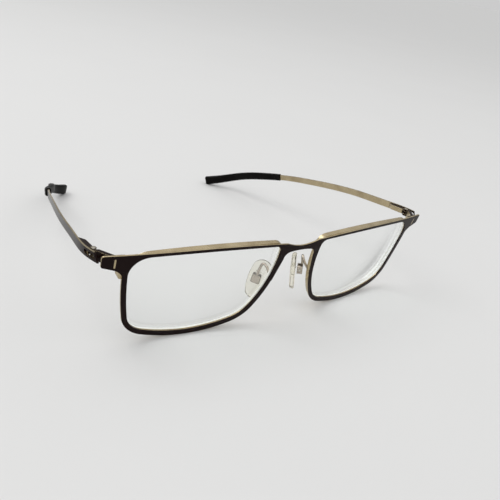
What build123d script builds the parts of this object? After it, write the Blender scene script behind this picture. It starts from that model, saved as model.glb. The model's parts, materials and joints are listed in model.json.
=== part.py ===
from build123d import *
import math
import os

# Rectangular full-rim metal spectacles with sprung hinges, standing on a table as they
# are put down open: the bottoms of the rims and both temple ends touch z = 0.
#
# Frame, in mm: +X to the wearer's left, +Y from the front back along the temples,
# +Z up. The origin is on the table, under the middle of the bounding box.
#
# The front is drawn flat, as outlines in (u, v): u to the wearer's left from the middle
# of the bridge, v up from the lowest point of the rims. It is then wrapped around a
# vertical cylinder and leant forward by the pantoscopic angle.

# ---- the front ----
WRAP_RADIUS = 346.0
PANTOSCOPIC_ANGLE = 9.05
FRONT_Y = -60.3
FRONT_Z = 0.17
HALF_FRONT = 71.0
PLATE_THICKNESS = 0.55
WRAP_HEIGHT = 120.0
RIM_FACE = 1.78
BRIDGE_TOP = 34.4
BRIDGE_BOTTOM = 32.4
BRIDGE_SHOULDER = (7.0, 35.85)
BROW_PEAK = (34.0, 36.85)
BRIDGE_LAND_DEPTH = 0.055
TAB_TOP = 35.0
TAB_BOTTOM = 30.9
TAB_CORNER = 0.8
TAB_INLAY = (67.0, 32.3, 0.55, 3.4)
TAB_INLAY_DEPTH = 0.35

# ---- the eyewires, lenses and closing blocks ----
EYEWIRE_BACK = 2.5
EYEWIRE_BACK_RADIUS = 666.0
EYEWIRE_DEEPEST_U = 25.0
EYEWIRE_WIDTH = 1.2
GROOVE_DEPTH = 0.45
GROOVE_NEAR = 0.82
GROOVE_FAR = 1.24
LENS_MIDDLE = (35.5, 18.5)
LENS_GAP = 0.06
LENS_FRONT_DEPTH = 0.5
LENS_CENTRE_THICKNESS = 1.4
LENS_BACK_RADIUS = 190.0
BEVEL_REACH = 0.38
BEVEL_NEAR = 0.85
BEVEL_FAR = 1.21
SPLIT_V = 28.5
SPLIT_GAP = 0.12
BLOCK_INNER_U = 61.0
BLOCK_OUTER_U = 65.25
BLOCK_BOTTOM = 26.0
BLOCK_TOP = 30.6
BLOCK_BACK = 2.9
BLOCK_CORNER = 0.7
RIM_SCREW_U = 64.45
RIM_SCREW_DEPTH = 1.75
RIM_SCREW_SHANK = 0.7
RIM_SCREW_HEAD = 1.2
RIM_SCREW_HEAD_HEIGHT = 0.5

# ---- the hinge, on the wearer's left; the right one is its mirror ----
HINGE_X = 70.75
HINGE_Y = FRONT_Y + 9.2
HINGE_Z = 33.6
HINGE_HEIGHT = 3.0
HINGE_LEAF = 0.85
HINGE_PLAY = 0.05
KNUCKLE_RADIUS = 0.9
FORK_FRONT = 1.7
FORK_NECK = 1.0
FORK_THROAT = 1.0
HINGE_SCREW_SHANK = 0.8
HINGE_SCREW_HEAD = 1.25
HINGE_SCREW_HEAD_HEIGHT = 0.4
ARM_TOP = 35.3
ARM_BOTTOM = 31.9

# ---- the spring casing and what slides in it, along the temple ----
TEMPLE_DROOP = 7.5
CASING_INNER = -0.8
CASING_OUTER = 1.6
CASING_HEIGHT = 2.2
CASING_FRONT = 1.25
CASING_LENGTH = 9.0
CASING_TAPER = (3.0, 1.6)
CASING_ROUNDING = 0.5
SLIDER_WIDTH = 1.0
SLIDER_HEIGHT = 1.5
SLIDER_REACH = 2.3
SLIDE_PLAY = 0.04
SHOULDER = 0.45
ROD_DIAMETER = 0.6
ROD_LENGTH = 3.0
ROD_THREAD = 0.8
SPRING_BORE = 1.2
SPRING_DIAMETER = 1.1
SPRING_WIRE = 0.18
SPRING_LENGTH = 2.5
SPRING_TURNS = 5
STOP_THICKNESS = 0.4

# ---- the temples and their sleeves ----
TEMPLE_THICKNESS = 0.6
TEMPLE_HEIGHT = 3.05
TEMPLE_TAIL_HEIGHT = 2.65
TEMPLE_LINE = (  # distance behind the front, half spread, height of the middle
    (2.4, 71.1, 34.45),
    (9.2, 72.35, 33.6),
    (14.2, 72.58, 32.93),
    (22.6, 71.9, 31.83),
    (39.3, 70.3, 29.6),
    (66.0, 65.5, 24.2),
    (89.0, 59.6, 18.0),
    (108.0, 52.2, 11.0),
    (125.4, 40.9, 1.955),
)
BUTT_TOP = (5.3, 35.1)
BUTT_BOTTOM = (3.4, 32.5)
TIP_DIRECTION = (-0.66, 0.68, -0.32)
SLOT_CENTRE = -1.0
SLOT_LENGTH = 6.4
SLOT_HEIGHT = 1.4
CORE_HEIGHT = 2.0
CORE_PLAY = 0.03
CORE_SHORT = 3.0
SLEEVE_LENGTH = 49.0
SLEEVE_MOUTH = (2.0, 3.5)
SLEEVE_TIP = (2.6, 4.4)
SLEEVE_ROUNDING = 0.85
SLEEVE_TIP_ROUNDING = 0.7

# ---- the nose pads, on the wearer's left ----
PAD_CENTRE = (9.4, FRONT_Y + 5.0, 17.3)
PAD_SPLAY = 42.0
PAD_FLARE = 10.0
PAD_THICKNESS = 1.8
PAD_FACE_ROUNDING = 0.8
PAD_BACK_ROUNDING = 0.3
PAD_PLATE = (4.8, 2.4)
PAD_PLATE_DEPTHS = (0.6, 1.1)
PAD_PIVOT_OUT = 1.5
PAD_LUG_RADIUS = 0.65
PAD_LUG_WIDTH = 1.0
PAD_BOX = (3.2, 3.4, 2.1)
PAD_BOX_GAP = 0.6
PAD_BOX_FLOOR = 0.35
PAD_BOX_ROUNDING = 0.6
PAD_SCREW = 0.8
PAD_SCREW_HEAD = 1.3
PAD_SCREW_HEAD_HEIGHT = 0.3
PAD_ARM_WIRE = 0.95
PAD_ARM_LINE = ((10.1, -1.3, 20.3), (8.9, 0.5, 22.4), (9.1, 2.3, 23.9))
PAD_ARM_START = (-0.6, 0.5, 0.6)

SHARED_FASTENERS = ("rim_screw", "hinge_screw", "pad_screw")


# ---------------------------------------------------------------- the front, flat

def lens_opening(grow=0.0):
    """Outline of the left lens opening in (u, v), grown outwards by grow."""
    corners = {"top_nasal": (9.4, 35.1), "top_temporal": (62.8, 34.0)}
    corners |= {"bottom_temporal": (59.2, 4.9), "bottom_nasal": (17.6, 5.4)}
    radii = {"top_nasal": 2.6, "top_temporal": 7.0, "bottom_temporal": 8.5, "bottom_nasal": 12.0}
    edges = [
        ThreePointArc(corners["top_nasal"], (35.0, 35.65), corners["top_temporal"]),
        ThreePointArc(corners["top_temporal"], (61.8, 19.0), corners["bottom_temporal"]),
        ThreePointArc(corners["bottom_temporal"], (41.0, 1.3), corners["bottom_nasal"]),
        ThreePointArc(corners["bottom_nasal"], (10.55, 20.5), corners["top_nasal"]),
    ]
    outline = make_face(edges)
    for name, radius in radii.items():
        corner = outline.vertices().sort_by_distance((*corners[name], 0))[0]
        outline = fillet(corner, radius)
    return redrawn(offset(outline, grow)) if grow else outline


def redrawn(outline):
    """The same outline with each edge, an arc, drawn afresh."""
    return make_face([ThreePointArc(arc @ 0, arc @ 0.5, arc @ 1) for arc in outline.wire().edges()])


def below_the_brow():
    """Everything under the top edge of the left half of the front."""
    saddle_middle = (BRIDGE_SHOULDER[0] / 2, (BRIDGE_TOP + BRIDGE_SHOULDER[1]) / 2 - 0.35)
    saddle = ThreePointArc((0, BRIDGE_TOP), saddle_middle, BRIDGE_SHOULDER)
    brow = Spline(BRIDGE_SHOULDER, BROW_PEAK, (HALF_FRONT, TAB_TOP), tangents=((1, 0.09), (1, -0.05)))
    rest = Polyline((HALF_FRONT, TAB_TOP), (HALF_FRONT, -5), (0, -5), (0, BRIDGE_TOP))
    return make_face([saddle, brow, rest])


def bridge_and_tab():
    """Left half of the bar that joins the rims and carries the end tab, drawn too high."""
    edges = [
        Line((0, 40), (0, BRIDGE_BOTTOM)),
        ThreePointArc((0, BRIDGE_BOTTOM), (2.4, 32.35), (4.6, 32.1)),
        ThreePointArc((4.6, 32.1), (6.2, 31.2), (6.8, 29.2)),
        Line((6.8, 29.2), (8.75, 19.5)),
        Polyline((8.75, 19.5), (20, 19.5), (20, 25), (63.9, 25)),
        ThreePointArc((63.9, 25), (64.9, 28.3), (67.2, 29.85)),
        Line((67.2, 29.85), (HALF_FRONT, TAB_BOTTOM)),
        Polyline((HALF_FRONT, TAB_BOTTOM), (HALF_FRONT, 40), (0, 40)),
    ]
    return make_face(edges)


def front_outline():
    """The whole front seen from ahead: two rim faces, bridge and end tabs."""
    opening = lens_opening()
    half = (bridge_and_tab() + lens_opening(RIM_FACE)) & below_the_brow()
    half = half - opening
    tip = half.vertices().filter_by(lambda corner: corner.X > HALF_FRONT - 0.01)
    half = fillet(tip, TAB_CORNER)
    return half + mirror(half, about=Plane.YZ)


# ---------------------------------------------------------------- the front, curved

def depth_band(near, far):
    """Curved slab of space between two depths behind the front surface."""
    outer = Cylinder(WRAP_RADIUS - near, WRAP_HEIGHT)
    inner = Cylinder(WRAP_RADIUS - far, WRAP_HEIGHT)
    return Pos(0, WRAP_RADIUS, 0) * (outer - inner)


def curved(outline, near, far):
    """An outline in (u, v) made solid between two depths behind the front surface."""
    reach = 30
    block = extrude(Plane.XZ * outline, amount=reach, both=True)
    return block & depth_band(near, far)


def wrap_depth(u, depth):
    """How far back a point at width u lies when it is depth behind the front surface."""
    return WRAP_RADIUS - math.sqrt((WRAP_RADIUS - depth) ** 2 - u**2)


def place_front(solid):
    """Lean a solid of the front forward and stand it on the table."""
    return Pos(0, FRONT_Y, FRONT_Z) * Rot(PANTOSCOPIC_ANGLE, 0, 0) * solid


def splits():
    """The saw cut that lets the left rim open at its closing block."""
    return Pos(64, 5, SPLIT_V) * Box(8, 20, SPLIT_GAP)


def tab_slot():
    u, v, width, height = TAB_INLAY
    return Pos(u, v) * SlotOverall(height, width, rotation=90)


def front_plate():
    plate = curved(front_outline(), 0, PLATE_THICKNESS)
    land = Pos(0, -5 + BRIDGE_LAND_DEPTH, 20) * Box(40, 10, 60)
    plate = plate - land
    cuts = splits() + curved(tab_slot(), -1, TAB_INLAY_DEPTH)
    return plate - cuts - mirror(cuts, about=Plane.YZ)


def behind_the_eyewire():
    """Space behind the eyewire's back edge, which lies on a flatter curve than the front."""
    turn = math.asin(EYEWIRE_DEEPEST_U / WRAP_RADIUS)
    centre_distance = EYEWIRE_BACK + EYEWIRE_BACK_RADIUS - WRAP_RADIUS
    u = -centre_distance * math.sin(turn)
    y = WRAP_RADIUS + centre_distance * math.cos(turn)
    return Pos(u, y, 0) * Cylinder(EYEWIRE_BACK_RADIUS, WRAP_HEIGHT)


def eyewire():
    ring = curved(lens_opening(EYEWIRE_WIDTH) - lens_opening(), PLATE_THICKNESS, 2 * EYEWIRE_BACK)
    groove = curved(lens_opening(GROOVE_DEPTH), GROOVE_NEAR, GROOVE_FAR)
    return ring - behind_the_eyewire() - groove - splits()


def lens():
    """Meniscus lens, thicker at its edge, with a bevel that sits in the eyewire groove."""
    u, v = LENS_MIDDLE
    front_radius = WRAP_RADIUS - LENS_FRONT_DEPTH
    front_ball = Pos(0, WRAP_RADIUS, v) * Sphere(front_radius)
    back_depth = LENS_FRONT_DEPTH + LENS_CENTRE_THICKNESS
    turn = math.asin(u / WRAP_RADIUS)
    centre_distance = WRAP_RADIUS - back_depth - LENS_BACK_RADIUS
    back_u = centre_distance * math.sin(turn)
    back_y = WRAP_RADIUS - centre_distance * math.cos(turn)
    back_ball = Pos(back_u, back_y, v) * Sphere(LENS_BACK_RADIUS)
    body = extrude(Plane.XZ * lens_opening(-LENS_GAP), amount=30, both=True)
    body = (body & front_ball) - back_ball
    bevel = curved(lens_opening(BEVEL_REACH) - lens_opening(-1.0), BEVEL_NEAR, BEVEL_FAR)
    return body + bevel


def rim_screw_line(low, high, diameter):
    """Upright round hole or shank through the closing blocks, between two heights."""
    place = Pos(RIM_SCREW_U, wrap_depth(RIM_SCREW_U, RIM_SCREW_DEPTH), (low + high) / 2)
    return place * Cylinder(diameter / 2, high - low)


def closing_block(low, high, hole):
    width = BLOCK_OUTER_U - BLOCK_INNER_U
    outline = Pos((BLOCK_OUTER_U + BLOCK_INNER_U) / 2, (low + high) / 2) * Rectangle(width, high - low)
    outline = outline - lens_opening(EYEWIRE_WIDTH)
    corner = outline.vertices().sort_by_distance((BLOCK_OUTER_U, BLOCK_BOTTOM, 0))[0]
    if low == BLOCK_BOTTOM:
        outline = fillet(corner, BLOCK_CORNER)
    return curved(outline, PLATE_THICKNESS, BLOCK_BACK) - hole


def lower_closing_block():
    top = SPLIT_V - SPLIT_GAP / 2
    hole = rim_screw_line(BLOCK_BOTTOM - 1, top + 1, RIM_SCREW_SHANK + 0.1)
    seat = rim_screw_line(BLOCK_BOTTOM - 1, BLOCK_BOTTOM + RIM_SCREW_HEAD_HEIGHT, RIM_SCREW_HEAD + 0.1)
    return closing_block(BLOCK_BOTTOM, top, hole + seat)


def upper_closing_block():
    bottom = SPLIT_V + SPLIT_GAP / 2
    hole = rim_screw_line(bottom - 1, BLOCK_TOP - 0.5, RIM_SCREW_SHANK)
    return closing_block(bottom, BLOCK_TOP, hole)


def rim_screw():
    shank = rim_screw_line(BLOCK_BOTTOM + 0.3, BLOCK_TOP - 0.5, RIM_SCREW_SHANK)
    head = rim_screw_line(BLOCK_BOTTOM, BLOCK_BOTTOM + RIM_SCREW_HEAD_HEIGHT, RIM_SCREW_HEAD)
    depth = wrap_depth(RIM_SCREW_U, RIM_SCREW_DEPTH)
    slot = Pos(RIM_SCREW_U, depth, BLOCK_BOTTOM) * Box(RIM_SCREW_HEAD + 1, 0.35, 0.5)
    return shank + head - slot


def tab_inlay():
    return curved(tab_slot(), 0.02, TAB_INLAY_DEPTH)


# ---------------------------------------------------------------- the hinge

def upright(outline, low, high):
    """A plan outline made solid between two heights."""
    return Pos(0, 0, low) * extrude(outline, amount=high - low)


def end_piece():
    """Arm from behind the end tab, out and back to the hinge fork."""
    root = FRONT_Y
    back = HINGE_Y - FORK_FRONT
    outer_side = [(68.3, root), (68.3, root + 2.9), (HINGE_X + 0.1, back - 0.7), (HINGE_X + 0.1, back)]
    inner_side = [(HINGE_X - 1.0, back), (66.6, root + 3.0), (63.6, root + 2.5), (63.6, root)]
    outline = make_face(Polyline(*outer_side, *inner_side, close=True))
    everywhere = Rectangle(3 * HALF_FRONT, 3 * HALF_FRONT)
    inside = place_front(curved(everywhere, -20, PLATE_THICKNESS))
    rim = place_front(curved(lens_opening(EYEWIRE_WIDTH), -1, EYEWIRE_BACK))
    block = Pos(BLOCK_INNER_U, BLOCK_TOP / 2) * Rectangle(10, BLOCK_TOP)
    block = place_front(curved(block, 0, BLOCK_BACK))
    return upright(outline, ARM_BOTTOM, ARM_TOP) - inside - rim - block


def hinge_disc(radius, low, high):
    return Pos(HINGE_X, HINGE_Y, (low + high) / 2) * Cylinder(radius, high - low)


def hinge_levels():
    """Heights of the bottom leaf's faces, the middle knuckle and the top leaf's faces."""
    bottom = HINGE_Z - HINGE_HEIGHT / 2
    top = HINGE_Z + HINGE_HEIGHT / 2
    return bottom, bottom + HINGE_LEAF, top - HINGE_LEAF, top


def hinge_fork():
    bottom, leaf_bottom, leaf_top, top = hinge_levels()
    neck = Rectangle(FORK_NECK, FORK_FRONT)
    neck = Pos(HINGE_X, HINGE_Y - FORK_FRONT / 2) * neck
    fork = upright(neck, bottom, top) + hinge_disc(KNUCKLE_RADIUS, bottom, top)
    throat = hinge_disc(FORK_THROAT, leaf_bottom, leaf_top)
    throat += Pos(HINGE_X, HINGE_Y + 1, HINGE_Z) * Box(4, 2, leaf_top - leaf_bottom)
    screw_hole = hinge_disc(HINGE_SCREW_SHANK / 2 + 0.01, bottom - 1, top + 1)
    seat = hinge_disc(HINGE_SCREW_HEAD / 2 + 0.03, top - HINGE_SCREW_HEAD_HEIGHT, top + 1)
    return fork - throat - screw_hole - seat


def hinge_screw():
    bottom, _, _, top = hinge_levels()
    shank = hinge_disc(HINGE_SCREW_SHANK / 2, bottom, top - 0.1)
    head = hinge_disc(HINGE_SCREW_HEAD / 2, top - HINGE_SCREW_HEAD_HEIGHT, top)
    slot = Pos(HINGE_X, HINGE_Y, top) * Box(HINGE_SCREW_HEAD + 1, 0.3, 0.36)
    return shank + head - slot


# ---------------------------------------------------------------- the sprung slider

def along_temple(solid):
    """Place a solid drawn around the hinge axis with +Y along the temple's straight part."""
    return Pos(HINGE_X, HINGE_Y, HINGE_Z) * Rot(-TEMPLE_DROOP, 0, 0) * solid


def bar(width, height, start, end):
    return Pos(0, (start + end) / 2, 0) * Box(width, end - start, height)


def rod(diameter, start, end):
    return Pos(0, (start + end) / 2, 0) * Rot(90, 0, 0) * Cylinder(diameter / 2, end - start)


def casing_stations():
    """Along the temple: the casing's mouth, its shoulder's faces and its far end."""
    pocket_end = CASING_FRONT + SLIDER_REACH + 0.1
    return CASING_FRONT, pocket_end, pocket_end + SHOULDER, CASING_FRONT + CASING_LENGTH


def hinge_casing():
    """Barrel on the inside of the temple, cut to the temple's own curve."""
    mouth, shoulder_front, shoulder_back, end = casing_stations()
    shell = Pos((CASING_INNER + CASING_OUTER) / 2, 0, 0)
    shell *= bar(CASING_OUTER - CASING_INNER, CASING_HEIGHT, mouth, end)
    inner_end = shell.edges().filter_by(Axis.Z).sort_by(Axis.Y)[-2:].sort_by(Axis.X)[0]
    shell = chamfer(inner_end, *CASING_TAPER)
    inner_edges = shell.edges().filter_by(Axis.Y).sort_by(Axis.X)[:2]
    shell = fillet(inner_edges, CASING_ROUNDING)
    width = SLIDER_WIDTH + 2 * SLIDE_PLAY
    height = SLIDER_HEIGHT + 2 * SLIDE_PLAY
    pocket = bar(width, height, mouth - 1, shoulder_front)
    rod_hole = rod(ROD_DIAMETER + 0.1, shoulder_front - 1, shoulder_back + 1)
    bore = rod(SPRING_BORE, shoulder_back, shoulder_back + ROD_LENGTH + 0.1)
    return along_temple(shell - pocket - rod_hole - bore) - temple_blade()


def hinge_slider():
    _, leaf_bottom, leaf_top, _ = hinge_levels()
    low = leaf_bottom + HINGE_PLAY
    high = leaf_top - HINGE_PLAY
    knuckle = hinge_disc(KNUCKLE_RADIUS, low, high)
    neck = along_temple(bar(SLIDER_WIDTH, SLIDER_HEIGHT, 0, CASING_FRONT + 0.5))
    neck = neck & (Pos(HINGE_X, HINGE_Y, HINGE_Z) * Box(20, 20, high - low))
    end = CASING_FRONT + SLIDER_REACH
    block = along_temple(bar(SLIDER_WIDTH, SLIDER_HEIGHT, KNUCKLE_RADIUS + 0.25, end))
    hole = hinge_disc(HINGE_SCREW_SHANK / 2 + 0.03, low - 1, high + 1)
    socket = along_temple(rod(ROD_DIAMETER, end - ROD_THREAD, end + 1))
    return knuckle + neck + block - hole - socket


def guide_rod():
    start = CASING_FRONT + SLIDER_REACH - ROD_THREAD
    _, _, shoulder_back, _ = casing_stations()
    return along_temple(rod(ROD_DIAMETER, start, shoulder_back + ROD_LENGTH))


def rod_stop():
    _, _, shoulder_back, _ = casing_stations()
    start = shoulder_back + SPRING_LENGTH + 0.02
    ring = rod(SPRING_BORE - 0.1, start, start + STOP_THICKNESS)
    return along_temple(ring - rod(ROD_DIAMETER, start - 1, start + 2))


def flex_spring():
    _, _, shoulder_back, _ = casing_stations()
    height = SPRING_LENGTH - SPRING_WIRE - 0.02
    radius = (SPRING_DIAMETER - SPRING_WIRE) / 2
    coil = Helix(pitch=height / SPRING_TURNS, height=height, radius=radius)
    wire = sweep(Plane(origin=coil @ 0, z_dir=coil % 0) * Circle(SPRING_WIRE / 2), path=coil)
    start = shoulder_back + SPRING_WIRE / 2 + 0.01
    return along_temple(Pos(0, start, 0) * Rot(-90, 0, 0) * wire)


# ---------------------------------------------------------------- the temples

def temple_path():
    """Middle line of the whole temple, from in front of its butt end to the tip."""
    points = [(x, FRONT_Y + y, z) for y, x, z in TEMPLE_LINE]
    start = [after - before for before, after in zip(points[0], points[1])]
    return Spline(points, tangents=(start, TIP_DIRECTION))


def section_at(path, share):
    """Plane across the temple at a share of the path's length, its x level and outwards."""
    forward = path % share
    return Plane(origin=path @ share, x_dir=(forward.Y, -forward.X, 0), z_dir=forward)


def loft_along(path, sections, start, end, steps):
    """Loft a cross-section, a function of the share travelled, along part of the path."""
    shares = [start + (end - start) * step / steps for step in range(steps + 1)]
    return loft([section_at(path, share) * sections(share) for share in shares])


def sleeve_start(path):
    return 1 - SLEEVE_LENGTH / path.length


def temple_core(path, play=0.0):
    """The thin tail of the temple that the sleeve is pushed over."""
    section = Rectangle(TEMPLE_THICKNESS + 2 * play, CORE_HEIGHT + 2 * play)
    end = 1 - (CORE_SHORT - play) / path.length
    return loft_along(path, lambda share: section, sleeve_start(path) - 0.02, end, 5)


def temple_blade():
    """The flat side of the temple that shows, a little taller at the hinge."""
    path = temple_path()
    end = sleeve_start(path)

    def section(share):
        height = TEMPLE_HEIGHT + (TEMPLE_TAIL_HEIGHT - TEMPLE_HEIGHT) * share / end
        return Rectangle(TEMPLE_THICKNESS, height)

    return loft_along(path, section, 0, end, 12)


def before_the_butt():
    """Space in front of the temple's sloping front end."""
    (top_y, top_z), (bottom_y, bottom_z) = BUTT_TOP, BUTT_BOTTOM
    slope = Vector(0, top_y - bottom_y, top_z - bottom_z)
    face = Plane(origin=(HINGE_X, FRONT_Y + top_y, top_z), x_dir=(1, 0, 0), z_dir=slope)
    return face * Pos(0, -5, 0) * Box(10, 10, 20)


def temple_slot():
    """The long slot through the temple beside the hinge."""
    outwards = Plane(origin=(0, SLOT_CENTRE, 0), x_dir=(0, 1, 0), z_dir=(1, 0, 0))
    return along_temple(extrude(outwards * SlotOverall(SLOT_LENGTH, SLOT_HEIGHT), amount=5))


def temple():
    return temple_blade() - before_the_butt() - temple_slot() + temple_core(temple_path())


def temple_sleeve():
    path = temple_path()
    start = sleeve_start(path)

    def section(share):
        travel = (share - start) / (1 - start)
        width = SLEEVE_MOUTH[0] + (SLEEVE_TIP[0] - SLEEVE_MOUTH[0]) * travel
        height = SLEEVE_MOUTH[1] + (SLEEVE_TIP[1] - SLEEVE_MOUTH[1]) * travel
        return RectangleRounded(width, height, SLEEVE_ROUNDING)

    sleeve = loft_along(path, section, start, 1, 5)
    tip = sleeve.faces().sort_by(Axis.Y)[-1]
    sleeve = fillet(tip.edges(), SLEEVE_TIP_ROUNDING)
    return sleeve - temple_core(path, CORE_PLAY)


# ---------------------------------------------------------------- the nose pads

def pad_frame():
    """Plane on the pad's outer face: x across the pad, y up it, z towards the nose."""
    flare = math.radians(PAD_FLARE)
    splay = math.radians(PAD_SPLAY)
    up = Vector(-math.sin(flare), 0, math.cos(flare))
    inwards = Vector(-math.cos(splay), math.sin(splay), 0)
    to_nose = inwards - up * inwards.dot(up)
    return Plane(origin=PAD_CENTRE, x_dir=up.cross(to_nose), z_dir=to_nose)


def pad_layer(outline, low, high):
    """Outline in the pad's frame made solid between two distances towards the nose."""
    return extrude(pad_frame() * (Pos(0, 0, low) * outline), amount=high - low)


def pad_axle(diameter, half_length):
    """Round bar on the axis the pad rocks about, through both cheeks of its box."""
    place = pad_frame().location * Pos(0, 0, -PAD_PIVOT_OUT) * Rot(0, 90, 0)
    return place * Cylinder(diameter / 2, 2 * half_length)


def pad_core():
    """Plate moulded into the pad, with the lug that the pad rocks on."""
    near, far = PAD_PLATE_DEPTHS
    plate = pad_layer(SlotOverall(*PAD_PLATE, rotation=90), near, far)
    stem = pad_layer(Rectangle(PAD_LUG_WIDTH, 2 * PAD_LUG_RADIUS), -PAD_PIVOT_OUT, near)
    lug = pad_axle(2 * PAD_LUG_RADIUS, PAD_LUG_WIDTH / 2)
    return plate + stem + lug - pad_axle(PAD_SCREW + 0.08, PAD_LUG_WIDTH)


def pad_outline():
    """D shape of the pad in its frame: a nearly straight side, a full one, a narrower foot."""
    edges = [
        ThreePointArc((-2.7, 3.6), (-3.1, -1.0), (-2.3, -6.9)),
        ThreePointArc((-2.3, -6.9), (0.4, -9.1), (3.0, -6.9)),
        ThreePointArc((3.0, -6.9), (4.8, -0.9), (4.4, 4.2)),
        ThreePointArc((4.4, 4.2), (1.3, 7.1), (-2.7, 3.6)),
    ]
    return make_face(edges)


def nose_pad():
    pad = extrude(pad_outline(), amount=PAD_THICKNESS)
    pad = fillet(pad.faces().sort_by(Axis.Z)[-1].edges(), PAD_FACE_ROUNDING)
    pad = fillet(pad.faces().sort_by(Axis.Z)[0].edges(), PAD_BACK_ROUNDING)
    return pad_frame().location * pad - pad_core()


def pad_screw_head(play=0.0):
    """Round head of the pad screw, sunk flush in the box's side."""
    height = PAD_SCREW_HEAD_HEIGHT + play
    place = Pos(PAD_BOX[0] / 2 - height / 2, 0, -PAD_PIVOT_OUT) * Rot(0, 90, 0)
    return pad_frame().location * place * Cylinder(PAD_SCREW_HEAD / 2 + play, height)


def pad_screw():
    half = PAD_BOX[0] / 2
    slot = pad_frame().location * Pos(half, 0, -PAD_PIVOT_OUT) * Box(0.3, 3, 0.25)
    return pad_axle(PAD_SCREW, half) + pad_screw_head() - slot


def pad_arm():
    """Bent wire from the eyewire to the box that the pad is screwed in."""
    width, height, depth = PAD_BOX
    frame = pad_frame()
    box_low = -PAD_BOX_GAP - depth
    box = pad_layer(RectangleRounded(width, height, PAD_BOX_ROUNDING), box_low, -PAD_BOX_GAP)
    gap = pad_layer(Rectangle(PAD_LUG_WIDTH + 0.1, height + 2), box_low + PAD_BOX_FLOOR, 0)
    box = box - pad_axle(PAD_SCREW + 0.02, width) - pad_screw_head(0.02)
    box_top = (frame.location * Pos(0, height / 2, box_low + PAD_BOX_FLOOR)).position
    path = Spline(
        [(x, FRONT_Y + y, z) for x, y, z in PAD_ARM_LINE] + [box_top - frame.y_dir * 0.4],
        tangents=(PAD_ARM_START, -frame.y_dir),
    )
    wire = sweep(Plane(origin=path @ 0, z_dir=path % 0) * Circle(PAD_ARM_WIRE / 2), path=path)
    rim = place_front(curved(lens_opening(EYEWIRE_WIDTH), -1, EYEWIRE_BACK))
    return wire + box - rim - gap


# ---------------------------------------------------------------- the assembly

def left_parts():
    """Every piece of the wearer's left half, by name, with the hinge as built."""
    on_front = {
        "eyewire": eyewire(),
        "lens": lens(),
        "upper_closing_block": upper_closing_block(),
        "lower_closing_block": lower_closing_block(),
        "rim_screw": rim_screw(),
        "tab_inlay": tab_inlay(),
    }
    parts = {name: place_front(solid) for name, solid in on_front.items()}
    builders = (end_piece, hinge_fork, hinge_screw, hinge_slider, guide_rod, rod_stop, flex_spring)
    builders += (hinge_casing, temple, temple_sleeve, pad_arm, pad_core, nose_pad, pad_screw)
    parts |= {build.__name__: build() for build in builders}
    return parts


def export_all():
    os.makedirs("parts", exist_ok=True)
    export_step(place_front(front_plate()), "parts/front_plate.step")
    for name, left in left_parts().items():
        right = mirror(left, about=Plane.YZ)
        if name in SHARED_FASTENERS:
            export_step(Compound([left.solid(), right.solid()]), f"parts/{name}s.step")
        else:
            export_step(left, f"parts/{name}_left.step")
            export_step(right, f"parts/{name}_right.step")


if __name__ == "__main__":
    export_all()
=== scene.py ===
import bmesh
import bpy
import json
import math
import numpy as np
from mathutils import Matrix, Vector
from mathutils.geometry import convex_hull_2d


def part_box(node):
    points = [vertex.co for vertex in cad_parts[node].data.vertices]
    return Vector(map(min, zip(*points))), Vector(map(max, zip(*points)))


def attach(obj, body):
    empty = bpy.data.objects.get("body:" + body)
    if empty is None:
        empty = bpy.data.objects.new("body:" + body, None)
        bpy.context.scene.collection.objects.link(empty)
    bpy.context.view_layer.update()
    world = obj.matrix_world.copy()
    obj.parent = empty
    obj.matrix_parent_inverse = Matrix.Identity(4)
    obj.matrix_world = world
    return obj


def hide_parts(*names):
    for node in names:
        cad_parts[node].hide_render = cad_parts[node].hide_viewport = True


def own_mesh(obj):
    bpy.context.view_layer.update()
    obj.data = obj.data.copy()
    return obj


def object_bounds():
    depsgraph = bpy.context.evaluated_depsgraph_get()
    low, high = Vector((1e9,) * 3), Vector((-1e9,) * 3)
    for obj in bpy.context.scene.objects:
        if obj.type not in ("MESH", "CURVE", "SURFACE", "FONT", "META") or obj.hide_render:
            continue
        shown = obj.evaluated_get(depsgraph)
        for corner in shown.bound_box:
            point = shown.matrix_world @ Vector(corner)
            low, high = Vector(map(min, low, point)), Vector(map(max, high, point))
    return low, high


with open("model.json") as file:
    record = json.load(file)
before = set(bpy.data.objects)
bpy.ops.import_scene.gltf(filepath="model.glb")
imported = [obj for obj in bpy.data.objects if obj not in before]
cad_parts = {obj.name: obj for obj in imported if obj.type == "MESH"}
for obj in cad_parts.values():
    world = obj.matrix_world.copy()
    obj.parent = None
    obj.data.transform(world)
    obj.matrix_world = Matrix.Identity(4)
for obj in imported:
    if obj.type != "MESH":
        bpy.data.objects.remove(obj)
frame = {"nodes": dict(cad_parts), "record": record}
cad_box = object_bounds()

MM = 0.001
NODES = frame["nodes"]
SIDES = {"left": 1, "right": -1}
BODY_OF = {node: body for body, nodes in frame["record"]["behaviour"]["bodies"].items() for node in nodes}

# The front faces the way of the record's flat land on the bridge.
MOUNTS = {mount["name"]: mount for mount in frame["record"]["mounts"]}
FRONT_NORMAL = Vector(MOUNTS["bridge_front"]["axis"])
BRIDGE = Vector(MOUNTS["bridge_front"]["pos_m"])
FORWARD = Vector((0, -1, 0))


# ---------------------------------------------------------------- shader helpers

NOISE_DETAIL = 4.0
NOISE_ROUGHNESS = 0.55


def new_material(name):
    """A new material and its Principled shader, which the helpers below hang nodes on."""
    material = bpy.data.materials.new(name)
    material.use_nodes = True
    return material, material.node_tree.nodes["Principled BSDF"]


def link(output, target):
    target.id_data.links.new(output, target)


def feed(target, value):
    """Set an input from a socket, a number, a vector or a colour."""
    if isinstance(value, bpy.types.NodeSocket):
        link(value, target)
    elif target.type == "RGBA":
        target.default_value = (*value, 1)
    else:
        target.default_value = value


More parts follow.
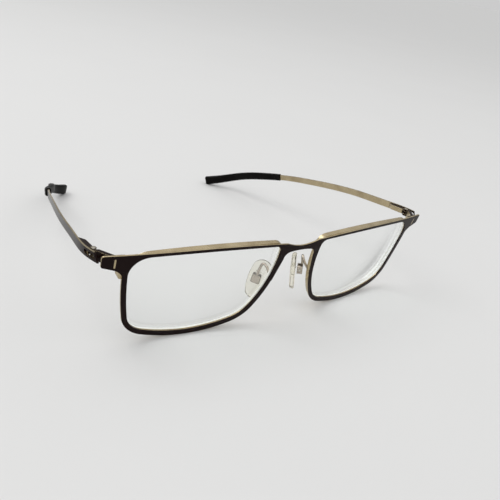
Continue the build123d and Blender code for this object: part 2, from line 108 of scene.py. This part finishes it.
def add(shader, kind, **settings):
    """A new node in the same tree as shader. Settings name its properties or feed its inputs."""
    node = shader.id_data.nodes.new(kind)
    for key, value in settings.items():
        if key in node.bl_rna.properties:
            setattr(node, key, value)
        else:
            feed(node.inputs[key.replace("_", " ")], value)
    return node


def arithmetic(shader, operation, *values, vector=False):
    """The result of a maths node on sockets, numbers or, with vector, vectors."""
    node = add(shader, "ShaderNodeVectorMath" if vector else "ShaderNodeMath", operation=operation)
    for target, value in zip(node.inputs, values):
        feed(target, value)
    scalar = not vector or operation == "DOT_PRODUCT"
    return node.outputs["Value" if scalar else "Vector"]


def object_point(shader):
    return add(shader, "ShaderNodeTexCoord").outputs["Object"]


def object_normal(shader):
    return add(shader, "ShaderNodeTexCoord").outputs["Normal"]


def along(shader, point, letter):
    """One coordinate of a point."""
    return add(shader, "ShaderNodeSeparateXYZ", Vector=point).outputs[letter]


def noise(shader, scale, vector=None):
    """Noise value in the object's own space, scale in cells per metre."""
    place = vector or object_point(shader)
    node = add(shader, "ShaderNodeTexNoise", Scale=scale, Detail=NOISE_DETAIL,
               Roughness=NOISE_ROUGHNESS, Vector=place)
    return node.outputs["Fac"]


def ramp(shader, value, low, high, start, end):
    """Map value from low..high onto start..end, clamped."""
    node = add(shader, "ShaderNodeMapRange", Value=value,
               From_Min=low, From_Max=high, To_Min=start, To_Max=end)
    return node.outputs["Result"]


def mix_colour(shader, factor, first, second):
    """Blend two colours, each a tuple or a socket, by a socket."""
    return add(shader, "ShaderNodeMix", data_type="RGBA", Factor=factor, A=first, B=second).outputs["Result"]


def mix_value(shader, factor, first, second):
    """Blend two values, each a number or a socket, by a socket."""
    return add(shader, "ShaderNodeMix", data_type="FLOAT", Factor=factor, A=first, B=second).outputs["Result"]


def facing(shader, direction, low, high):
    """0 to 1 as the object's own surface normal turns towards a direction."""
    cosine = arithmetic(shader, "DOT_PRODUCT", object_normal(shader), direction, vector=True)
    return ramp(shader, cosine, low, high, 0, 1)


def greater(shader, first, second):
    return arithmetic(shader, "MAXIMUM", first, second)


def towards_lens(shader):
    """1 where the surface faces the middle of the lens on its own side, else 0."""
    low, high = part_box("lens_left")
    across, back, up = ((low[i] + high[i]) / 2 for i in range(3))
    side = arithmetic(shader, "SIGN", along(shader, object_point(shader), "X"))
    middle = add(shader, "ShaderNodeCombineXYZ", X=arithmetic(shader, "MULTIPLY", side, across), Y=back, Z=up)
    way = arithmetic(shader, "SUBTRACT", middle.outputs["Vector"], object_point(shader), vector=True)
    towards = arithmetic(shader, "NORMALIZE", way, vector=True)
    cosine = arithmetic(shader, "DOT_PRODUCT", object_normal(shader), towards, vector=True)
    return ramp(shader, cosine, 0.2, 0.3, 0, 1)


def stretched(shader, scale):
    """Object coordinates scaled unevenly, for grain that runs one way."""
    return add(shader, "ShaderNodeMapping", Scale=scale, Vector=object_point(shader)).outputs["Vector"]


# ---------------------------------------------------------------- materials

GOLD = (0.50, 0.415, 0.265)
GOLD_DEEP = (0.38, 0.305, 0.185)
LACQUER = (0.0070, 0.0018, 0.0016)
LACQUER_WORN = (0.011, 0.0040, 0.0034)
LACQUER_SHINE = 0.08
TEMPLE_SHINE = 1.2
EDGE_RADIUS = 0.08 * MM
WEAR_WIDTH = 0.2 * MM
BRUSHING = (1, 0.15, 1)  # the champagne metal's grain runs from front to back

RESIN = (0.985, 0.995, 0.99)
RESIN_IOR = 1.5
RESIN_SHADOW = (0.93, 0.95, 0.94)
GROUND_EDGE = (0.86, 0.90, 0.89)
GROUND_EDGE_GLOW = (0.88, 0.92, 0.90)
PAINTED_EDGE_GLOW = 0.3  # painted glow: strength of the light that the ground edge emits

SILICONE = (0.97, 0.96, 0.92)
SILICONE_AGED = (0.95, 0.92, 0.80)
SILICONE_IOR = 1.41
CORE = (0.98, 0.98, 0.97)
CORE_AGED = (0.97, 0.97, 0.95)
CORE_IOR = 1.5
PLASTIC_SHADOW = (0.86, 0.85, 0.80)
PLASTIC_DEPTH = (0.95, 0.88, 0.55)
YELLOWING = 12.0
EDGE_ON_TINT_PAINT = (0.50, 0.38, 0.16)

RUBBER = (0.0022, 0.0018, 0.0015)
RUBBER_SCUFFED = (0.0050, 0.0043, 0.0038)
SCREW_STEEL = (0.70, 0.66, 0.58)
PAD_ARM_STEEL = (0.62, 0.55, 0.46)
SPRING_STEEL = (0.5, 0.5, 0.52)
# colour and edge width of the painted shade on the pad arms
SHADE_PAINT = (0.05, 0.035, 0.025)
SHADE_PAINT_WIDTH = 0.5 * MM
PAPER = (0.69, 0.69, 0.685)
PAPER_PALE = (0.71, 0.71, 0.705)


def rounded_edges(shader, radius=EDGE_RADIUS):
    """Normals that roll over the sharp edges, as plating and lacquer do."""
    return add(shader, "ShaderNodeBevel", samples=4, Radius=radius).outputs["Normal"]


def shine_along_temple(shader):
    """Lacquer that is duller where it's handled at the hinge and polished further back."""
    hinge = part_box("hinge_fork_left")[1][1]
    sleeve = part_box("temple_sleeve_left")[0][1]
    back = along(shader, object_point(shader), "Y")
    return ramp(shader, back, hinge, sleeve, LACQUER_SHINE, TEMPLE_SHINE)


def sharp_edges(shader, width=WEAR_WIDTH):
    """1 in a narrow band along the sharp edges, else 0."""
    flat = add(shader, "ShaderNodeNewGeometry").outputs["Normal"]
    cosine = arithmetic(shader, "DOT_PRODUCT", rounded_edges(shader, width), flat, vector=True)
    return ramp(shader, cosine, 0.9, 0.97, 1, 0)


def grazing(shader):
    """0 where the surface faces the viewer, 1 where it is seen edge-on."""
    return add(shader, "ShaderNodeLayerWeight", Blend=0.5).outputs["Facing"]


def bump(shader, height, strength, distance, normal=None):
    """Fine relief of the surface, on top of normal where that is given."""
    node = add(shader, "ShaderNodeBump", Strength=strength, Distance=distance, Height=height)
    if normal:
        link(normal, node.inputs["Normal"])
    link(node.outputs["Normal"], shader.inputs["Normal"])


def champagne_colour(shader):
    """Champagne plating with slow drifts of tone."""
    drift = ramp(shader, noise(shader, 160), 0.35, 0.65, 0, 1)
    return mix_colour(shader, drift, GOLD, GOLD_DEEP)


def champagne():
    """Bare champagne metal with a fine brushed grain."""
    material, shader = new_material("champagne_metal")
    grain = noise(shader, 3000, vector=stretched(shader, BRUSHING))
    feed(shader.inputs["Base Color"], champagne_colour(shader))
    feed(shader.inputs["Metallic"], 1.0)
    feed(shader.inputs["Roughness"], ramp(shader, grain, 0.3, 0.7, 0.2, 0.34))
    bump(shader, grain, 0.12, 0.02 * MM, rounded_edges(shader))
    return material


def lacquered(name, coated, shine=None, edge_highlight_wear=False):
    """Dark lacquer where the mask that coated makes is 1, bare champagne metal elsewhere.

    Without coated the lacquer is everywhere. shine makes the lacquer's gloss. On request the sharp edges show
    bare champagne metal, both as lacquer rubbed off and as a painted edge highlight.
    """
    material, shader = new_material(name)
    coat = coated(shader) if coated else 1.0
    if edge_highlight_wear:
        # bare metal along the sharp edges: partly lacquer rubbed off, partly a painted edge highlight
        coat = mix_value(shader, sharp_edges(shader), coat, 0.0)
    drift = ramp(shader, noise(shader, 90), 0.3, 0.7, 0, 1)
    lacquer = mix_colour(shader, drift, LACQUER, LACQUER_WORN)
    grain = noise(shader, 4000)
    satin = ramp(shader, grain, 0.3, 0.7, 0.26, 0.36)
    feed(shader.inputs["Base Color"], mix_colour(shader, coat, champagne_colour(shader), lacquer))
    feed(shader.inputs["Metallic"], mix_value(shader, coat, 1.0, 0.0))
    feed(shader.inputs["Roughness"], mix_value(shader, coat, 0.26, satin))
    feed(shader.inputs["Specular IOR Level"], shine(shader) if shine else LACQUER_SHINE)
    bump(shader, grain, 0.15, 0.01 * MM, rounded_edges(shader))
    return material


def mix_shaders(shader, factor, first, second):
    """Blend the shaders of two sockets by a number or a socket."""
    node = add(shader, "ShaderNodeMixShader", Fac=factor)
    link(first, node.inputs[1])
    link(second, node.inputs[2])
    return node.outputs["Shader"]


def let_light_through(shader, surface, tint):
    """Finish the material with surface, but show shadow rays a thin tinted sheet instead."""
    sheet = add(shader, "ShaderNodeBsdfTransparent", Color=tint).outputs["BSDF"]
    shadow = add(shader, "ShaderNodeLightPath").outputs["Is Shadow Ray"]
    output = shader.id_data.nodes["Material Output"]
    link(mix_shaders(shader, shadow, surface, sheet), output.inputs["Surface"])


def lens_resin():
    """Clear coated resin with a ground edge, which shows white where the lens ends, partly through a painted
    glow that the edge emits.
    """
    material, shader = new_material("lens_resin")
    feed(shader.inputs["Base Color"], RESIN)
    feed(shader.inputs["Transmission Weight"], 1.0)
    feed(shader.inputs["IOR"], RESIN_IOR)
    feed(shader.inputs["Roughness"], ramp(shader, noise(shader, 60), 0.45, 0.75, 0.0, 0.01))
    ground = add(shader, "ShaderNodeBsdfDiffuse", Color=GROUND_EDGE).outputs["BSDF"]
    frost = add(shader, "ShaderNodeBsdfTranslucent", Color=GROUND_EDGE_GLOW).outputs["BSDF"]
    edge = add(shader, "ShaderNodeAddShader")
    link(mix_shaders(shader, 0.5, ground, frost), edge.inputs[0])
    # painted glow: the ground edge emits light of its own, which brightens it
    link(add(shader, "ShaderNodeEmission", Strength=PAINTED_EDGE_GLOW).outputs["Emission"], edge.inputs[1])
    ahead, behind = (facing(shader, way * FRONT_NORMAL, 0.6, 0.7) for way in (1, -1))
    polished = greater(shader, ahead, behind)
    whole = mix_shaders(shader, polished, edge.outputs["Shader"], shader.outputs["BSDF"])
    let_light_through(shader, whole, RESIN_SHADOW)
    return material


def clear_plastic(name, fresh, aged, roughness, ior):
    """Clear plastic that has yellowed in its depth, with a painted yellow tint where its surface is seen
    edge-on.
    """
    material, shader = new_material(name)
    body = mix_colour(shader, noise(shader, 200), fresh, aged)
    # painted tint: the surface turns yellow where it is seen edge-on
    edge_on_tint = ramp(shader, grazing(shader), 0.45, 0.9, 0, 1)
    smear = ramp(shader, noise(shader, 900), 0.3, 0.7, roughness, 2 * roughness)
    feed(shader.inputs["Base Color"], mix_colour(shader, edge_on_tint, body, EDGE_ON_TINT_PAINT))
    feed(shader.inputs["Transmission Weight"], 1.0)
    feed(shader.inputs["IOR"], ior)
    feed(shader.inputs["Roughness"], smear)
    let_light_through(shader, shader.outputs["BSDF"], PLASTIC_SHADOW)
    depth = add(shader, "ShaderNodeVolumeAbsorption", Color=PLASTIC_DEPTH, Density=YELLOWING)
    link(depth.outputs["Volume"], material.node_tree.nodes["Material Output"].inputs["Volume"])
    return material


def sleeve_rubber():
    """Matte black rubber, scuffed in patches."""
    material, shader = new_material("sleeve_rubber")
    scuff = ramp(shader, noise(shader, 250), 0.4, 0.7, 0, 1)
    grain = noise(shader, 6000)
    feed(shader.inputs["Base Color"], mix_colour(shader, scuff, RUBBER, RUBBER_SCUFFED))
    feed(shader.inputs["Roughness"], ramp(shader, grain, 0.3, 0.7, 0.36, 0.5))
    feed(shader.inputs["Specular IOR Level"], 0.07)
    bump(shader, grain, 0.3, 0.02 * MM)
    return material


def plated_steel(name, colour, roughness, painted_shade=False):
    """Bright plating. When asked for, its sharp edges and its flanks seen edge-on are painted dark, as
    painted shade.
    """
    material, shader = new_material(name)
    tone = noise(shader, 1200)
    plating = mix_colour(shader, tone, colour, tuple(channel * 0.75 for channel in colour))
    if painted_shade:
        # painted shade: sharp edges and surfaces seen edge-on are darkened
        seen_edge_on = ramp(shader, grazing(shader), 0.3, 0.7, 0, 1)
        shade_mask = greater(shader, sharp_edges(shader, SHADE_PAINT_WIDTH), seen_edge_on)
        plating = mix_colour(shader, shade_mask, plating, SHADE_PAINT)
    feed(shader.inputs["Base Color"], plating)
    feed(shader.inputs["Metallic"], 1.0)
    feed(shader.inputs["Roughness"], ramp(shader, tone, 0.3, 0.7, roughness, roughness + 0.12))
    link(rounded_edges(shader), shader.inputs["Normal"])
    return material


def floor_paper():
    material, shader = new_material("floor_paper")
    feed(shader.inputs["Base Color"], mix_colour(shader, noise(shader, 8), PAPER, PAPER_PALE))
    feed(shader.inputs["Roughness"], 0.9)
    feed(shader.inputs["Specular IOR Level"], 0.1)
    return material


# ---------------------------------------------------------------- pads and springs

PAD_POINTS = 96
PAD_SECTION = (  # inset from the outline and height, as shares of the pad's thickness
    (0.45, 0.0), (0.2, 0.02), (0.06, 0.1), (0.0, 0.25), (0.0, 0.45), (0.04, 0.62),
    (0.13, 0.79), (0.26, 0.91), (0.44, 0.98),
)
PAD_DOME = (  # share of the last ring left, and height as a share of the pad's thickness
    (0.8, 1.02), (0.55, 1.05), (0.3, 1.065), (0.1, 1.07),
)


def vertices_of(node):
    return np.array([vertex.co for vertex in NODES[node].data.vertices])


def plane_of(points, towards):
    """Middle of a flat piece, two axes in its plane, and its normal on the side of towards."""
    middle = (points.min(axis=0) + points.max(axis=0)) / 2
    spread = points - points.mean(axis=0)
    _, _, axes = np.linalg.svd(spread, full_matrices=False)
    normal = axes[2]
    if normal @ (np.array(towards) - middle) < 0:
        normal = -normal
    return middle, axes[0], np.cross(normal, axes[0]), normal


def outline_of(flat, count):
    """Evenly spaced points around the convex outline of points in a plane."""
    corners = np.array([flat[i] for i in convex_hull_2d([Vector(point) for point in flat])])
    closed = np.vstack([corners, corners[:1]])
    steps = np.linalg.norm(np.diff(closed, axis=0), axis=1)
    travelled = np.concatenate([[0], np.cumsum(steps)])
    marks = np.linspace(0, travelled[-1], count, endpoint=False)
    return np.column_stack([np.interp(marks, travelled, closed[:, axis]) for axis in range(2)])


def outward(ring):
    """Unit normals of a closed ring of points, pointing away from its middle."""
    along = np.roll(ring, -1, axis=0) - np.roll(ring, 1, axis=0)
    normals = np.column_stack([along[:, 1], -along[:, 0]])
    normals /= np.linalg.norm(normals, axis=1)[:, None]
    return normals * np.sign(np.sum(normals * (ring - ring.mean(axis=0))))


def shell_from_rings(name, rings):
    """A closed smooth mesh through rings of points, with a fan over each end."""
    count = len(rings[0])
    points = [tuple(point) for ring in rings for point in ring]
    points += [tuple(rings[0].mean(axis=0)), tuple(rings[-1].mean(axis=0))]
    faces = []
    for level in range(len(rings) - 1):
        for i in range(count):
            j = (i + 1) % count
            low, high = level * count, (level + 1) * count
            faces.append((low + i, low + j, high + j, high + i))
    last = (len(rings) - 1) * count
    for i in range(count):
        j = (i + 1) % count
        faces.append((j, i, len(points) - 2))
        faces.append((last + i, last + j, len(points) - 1))
    mesh = bpy.data.meshes.new(name)
    mesh.from_pydata(points, [], faces)
    shell = bmesh.new()
    shell.from_mesh(mesh)
    bmesh.ops.recalc_face_normals(shell, faces=shell.faces)
    shell.to_mesh(mesh)
    shell.free()
    mesh.polygons.foreach_set("use_smooth", [True] * len(faces))
    piece = bpy.data.objects.new(name, mesh)
    bpy.context.scene.collection.objects.link(piece)
    return piece


def soft_pad(node, core):
    """The pad as one clear cushion with a domed face, moulded around its core."""
    points = vertices_of(node)
    lug = vertices_of(core).mean(axis=0)
    middle, first, second, normal = plane_of(points, 2 * points.mean(axis=0) - lug)
    heights = (points - middle) @ normal
    thickness = heights.max() - heights.min()
    flat = np.column_stack([(points - middle) @ first, (points - middle) @ second])
    edge = outline_of(flat, PAD_POINTS)
    centre = edge.mean(axis=0)
    levels = [(edge - outward(edge) * inset * thickness, height) for inset, height in PAD_SECTION]
    top = levels[-1][0]
    levels += [(centre + (top - centre) * share, height) for share, height in PAD_DOME]
    rings = []
    for ring, height in levels:
        raised = heights.min() + height * thickness
        rings.append(middle + ring[:, :1] * first + ring[:, 1:] * second + raised * normal)
    return shell_from_rings(f"soft_{node}", rings)


def stand_in(piece, node, material):
    """Show a piece in place of a CAD node, riding with the node's body."""
    piece.data.materials.clear()
    piece.data.materials.append(material)
    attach(piece, BODY_OF[node])
    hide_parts(node)


def add_spring(side, wire):
    """The coil, drawn as a copy of the CAD spring that rides with the spring's body."""
    node = f"flex_spring_{side}"
    spring = NODES[node].copy()
    spring.data = spring.data.copy()
    spring.name = f"coil_{side}"
    bpy.context.scene.collection.objects.link(spring)
    stand_in(spring, node, wire)
    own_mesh(spring)


def add_soft_pieces():
    silicone = clear_plastic("pad_silicone", SILICONE, SILICONE_AGED, 0.015, SILICONE_IOR)
    wire = plated_steel("spring_steel", SPRING_STEEL, 0.18)
    for side in SIDES:
        pad = f"nose_pad_{side}"
        stand_in(soft_pad(pad, f"pad_core_{side}"), pad, silicone)
        add_spring(side, wire)


# ---------------------------------------------------------------- the other pieces

COATED_FROM = (0.55, 0.65)  # cosines between which the lacquer sets in


def paint(material, *names):
    """Give CAD nodes a material."""
    for name in names:
        mesh = NODES[name].data
        mesh.materials.clear()
        mesh.materials.append(material)


def both(*stems):
    return [f"{stem}_{side}" for stem in stems for side in SIDES]


def front_coat(shader):
    """The front plate is lacquered on its face and inside its openings."""
    return greater(shader, facing(shader, FRONT_NORMAL, *COATED_FROM), towards_lens(shader))


def temple_coat(sign):
    """A mask maker: a temple is lacquered on its outside and its front end."""
    outside = Vector((sign, -0.1, 0)).normalized()

    def coated(shader):
        return greater(shader, facing(shader, outside, *COATED_FROM), facing(shader, FORWARD, *COATED_FROM))

    return coated


def hinge_coat(sign):
    """A mask maker: casing and end piece are lacquered above and outside."""
    above = Vector((sign, 0, 1.2)).normalized()
    return lambda shader: facing(shader, above, 0.3, 0.4)


def paint_everything():
    metal = champagne()
    steel = plated_steel("screw_steel", SCREW_STEEL, 0.22)
    core = clear_plastic("pad_core_plastic", CORE, CORE_AGED, 0.02, CORE_IOR)
    paint(metal, *both("eyewire", "upper_closing_block", "lower_closing_block", "tab_inlay"))
    paint(lacquered("hinge_lacquer", None, edge_highlight_wear=True), *both("hinge_fork", "hinge_slider"))
    paint(lacquered("front_lacquer", front_coat), "front_plate")
    for side, sign in SIDES.items():
        temple = lacquered(f"temple_lacquer_{side}", temple_coat(sign), shine_along_temple)
        casing = lacquered(f"casing_lacquer_{side}", hinge_coat(sign), edge_highlight_wear=True)
        paint(temple, f"temple_{side}")
        paint(casing, f"hinge_casing_{side}", f"end_piece_{side}")
    paint(lens_resin(), *both("lens"))
    paint(core, *both("pad_core", "nose_pad"))
    paint(plated_steel("pad_arm_metal", PAD_ARM_STEEL, 0.16, painted_shade=True), *both("pad_arm"))
    paint(steel, "rim_screws", "hinge_screws", "pad_screws")
    paint(steel, *both("guide_rod", "rod_stop"))
    paint(plated_steel("spring_wire", SPRING_STEEL, 0.18), *both("flex_spring"))
    paint(sleeve_rubber(), *both("temple_sleeve"))


# ---------------------------------------------------------------- floor, light and camera

CAMERA_AZIMUTH = math.radians(39.3)
CAMERA_DOWN = math.radians(26.9)
CAMERA_ROLL = math.radians(11.8)
CAMERA_FROM_BRIDGE = Vector((-128.65, -128.9, 86.7)) * MM
CAMERA_LENS = 40.92
CAMERA_SENSOR = 36.0
CAMERA_STOP = 64.0
CAMERA_NEAR = 0.01
KEY_LIGHT = ("key", (-0.5, 0.35, 0.9), 0.6, 3.0)  # name, place, size and power
FILL_LIGHT = ("fill", (0.7, -0.5, 0.7), 0.8, 1.0)
FLOOR_SIZE = 40.0
FLOOR_DROP = 0.02 * MM
ROOM_DIM = 0.22
ROOM_BRIGHT = 1.0
ROOM_SEEN = 0.6


def add_floor():
    bpy.ops.mesh.primitive_plane_add(size=FLOOR_SIZE, location=(0, 0, cad_box[0][2] - FLOOR_DROP))
    floor = bpy.context.object
    floor.name = "floor"
    floor.data.materials.append(floor_paper())


def add_light(name, place, size, power):
    """A square light that looks at the origin."""
    data = bpy.data.lights.new(name, "AREA")
    data.size = size
    data.energy = power
    light = bpy.data.objects.new(name, data)
    light.location = place
    light.rotation_euler = (-Vector(place)).to_track_quat("-Z", "Y").to_euler()
    bpy.context.scene.collection.objects.link(light)


def add_world():
    """A pale room: bright above, dim at eye height. The camera sees it as pale as the far floor."""
    world = bpy.data.worlds.new("studio")
    world.use_nodes = True
    background = world.node_tree.nodes["Background"]
    direction = add(background, "ShaderNodeTexCoord").outputs["Generated"]
    glow = ramp(background, along(background, direction, "Z"), 0.0, 0.75, ROOM_DIM, ROOM_BRIGHT)
    seen = add(background, "ShaderNodeLightPath").outputs["Is Camera Ray"]
    feed(background.inputs["Strength"], mix_value(background, seen, glow, ROOM_SEEN))
    feed(background.inputs["Color"], (1.0, 1.0, 1.0))
    bpy.context.scene.world = world


def add_camera():
    """The photo's camera: above the wearer's right of the front, tipped a little, focused on the bridge."""
    level = Vector((math.cos(CAMERA_AZIMUTH), -math.sin(CAMERA_AZIMUTH), 0))
    ahead = Vector((math.sin(CAMERA_AZIMUTH), math.cos(CAMERA_AZIMUTH), 0))
    forward = ahead * math.cos(CAMERA_DOWN) - Vector((0, 0, math.sin(CAMERA_DOWN)))
    upright = level.cross(forward)
    right = level * math.cos(CAMERA_ROLL) + upright * math.sin(CAMERA_ROLL)
    up = upright * math.cos(CAMERA_ROLL) - level * math.sin(CAMERA_ROLL)
    data = bpy.data.cameras.new("camera")
    data.lens = CAMERA_LENS
    data.sensor_width = CAMERA_SENSOR
    data.clip_start = CAMERA_NEAR
    data.dof.use_dof = True
    data.dof.focus_distance = CAMERA_FROM_BRIDGE.length
    data.dof.aperture_fstop = CAMERA_STOP
    camera = bpy.data.objects.new("camera", data)
    camera.matrix_world = Matrix((right, up, -forward)).transposed().to_4x4()
    camera.location = BRIDGE + CAMERA_FROM_BRIDGE
    bpy.context.scene.collection.objects.link(camera)
    bpy.context.scene.camera = camera


def build_studio():
    add_floor()
    add_world()
    add_light(*KEY_LIGHT)
    add_light(*FILL_LIGHT)
    add_camera()
    bpy.context.scene.view_settings.view_transform = "Standard"


paint_everything()
add_soft_pieces()
build_studio()
